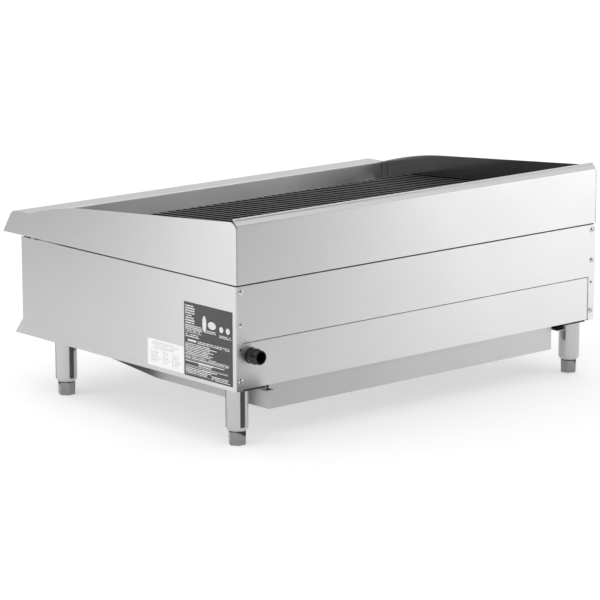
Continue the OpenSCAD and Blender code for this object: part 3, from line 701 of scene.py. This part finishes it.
def add_leg_strips(leg, distance=0.11, height=0.104, bands=((29.0, 80.0), (-132.0, -172.0))):
    """Low dark strips round a leg, seen only in reflections, that draw upright bands on its polished tube.

    Each band is a pair of turns, in degrees, from the camera's direction.
    """
    low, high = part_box(leg)
    middle = Vector(((low[0] + high[0]) / 2, (low[1] + high[1]) / 2, 0.0))
    toward = (CAMERA_AT - middle) * Vector((1.0, 1.0, 0.0))
    toward.normalize()
    for k, (start, end) in enumerate(bands):
        one = middle + Matrix.Rotation(math.radians(start), 3, "Z") @ toward * distance
        two = middle + Matrix.Rotation(math.radians(end), 3, "Z") @ toward * distance
        strip = add_flag(f"strip_{leg}_{k}", (one.x, one.y), (two.x - one.x, two.y - one.y), height,
                         level=0.14)
        strip.visible_diffuse = False


def smooth_step(tree, value, from_low, from_high, to_low, to_high):
    """A socket that rises smoothly from to_low to to_high."""
    made = tree.nodes.new("ShaderNodeMapRange")
    made.interpolation_type = "SMOOTHSTEP"
    made.inputs["From Min"].default_value = from_low
    made.inputs["From Max"].default_value = from_high
    made.inputs["To Min"].default_value = to_low
    made.inputs["To Max"].default_value = to_high
    tree.links.new(value, made.inputs["Value"])
    return made.outputs["Result"]


def product(tree, a, b):
    """A socket with two sockets multiplied."""
    made = tree.nodes.new("ShaderNodeMath")
    made.operation = "MULTIPLY"
    tree.links.new(a, made.inputs[0])
    tree.links.new(b, made.inputs[1])
    return made.outputs["Value"]


def set_world(low, high, from_deg, to_deg, side_dim):
    """A plain white sky, dim at the horizon and bright overhead.

    Side_dim dims the two quarters that the body's walls mirror, so that the softboxes there shade the walls.
    """
    world = bpy.data.worlds.new("studio")
    world.use_nodes = True
    tree = world.node_tree
    background = tree.nodes["Background"]
    background.inputs["Color"].default_value = (1.0, 1.0, 1.0, 1.0)
    direction = tree.nodes.new("ShaderNodeTexCoord")
    parts = tree.nodes.new("ShaderNodeSeparateXYZ")
    tree.links.new(direction.outputs["Generated"], parts.inputs[0])
    horizon = math.sin(math.radians(from_deg))
    overhead = math.sin(math.radians(to_deg))
    height = smooth_step(tree, parts.outputs["Z"], horizon, overhead, low, high)
    # X times Y is below 0 in the two quarters: rear left and front right
    quarter_side = product(tree, parts.outputs["X"], parts.outputs["Y"])
    quarter = smooth_step(tree, quarter_side, -0.35, 0.0, side_dim, 1.0)
    tree.links.new(product(tree, height, quarter), background.inputs["Strength"])
    bpy.context.scene.world = world


def add_camera():
    """The photo's camera."""
    data = bpy.data.cameras.new("camera")
    data.sensor_width = SENSOR_MM
    data.lens = CAMERA_LENS_MM
    data.clip_start = 0.1
    data.clip_end = 100.0
    camera = bpy.data.objects.new("camera", data)
    turn = (CAMERA_TARGET - CAMERA_AT).to_track_quat("-Z", "Y").to_matrix().to_4x4()
    roll = Matrix.Rotation(math.radians(CAMERA_ROLL_DEG), 4, "Z")
    camera.matrix_world = Matrix.Translation(CAMERA_AT) @ turn @ roll
    bpy.context.scene.collection.objects.link(camera)
    bpy.context.scene.camera = camera


add_floor()
set_world(low=0.12, high=1.25, from_deg=15.0, to_deg=50.0, side_dim=0.6)
# The rear wall mirrors the rear left quarter: a softbox that ends at a black flag draws its change of tone
add_softbox("rear_left", at=(-3.2, 2.6, 1.0), toward=(-3.2, 0.0, 1.0), width=2.6, height=2.0, radiance=2.0)
add_flag("flag_rear", corner=(-1.88, 2.6), along=(2.0, 0.0), height=2.4)
# The side wall mirrors the front right quarter in the same way
add_softbox("front_right", at=(2.1, -0.9, 1.0), toward=(0.0, -0.9, 1.0), width=1.6, height=2.0, radiance=1.5)
add_flag("flag_side", corner=(2.1, -1.74), along=(0.0, -2.0), height=2.4)
add_softbox("front_left", at=(-2.8, -3.2, 1.1), toward=(0.0, 0.0, 1.1), width=3.0, height=1.7, radiance=0.8)
for leg_name in ("leg_rear_right", "leg_front_right"):
    add_leg_strips(leg_name)
add_camera()
bpy.context.scene.view_settings.view_transform = "Standard"
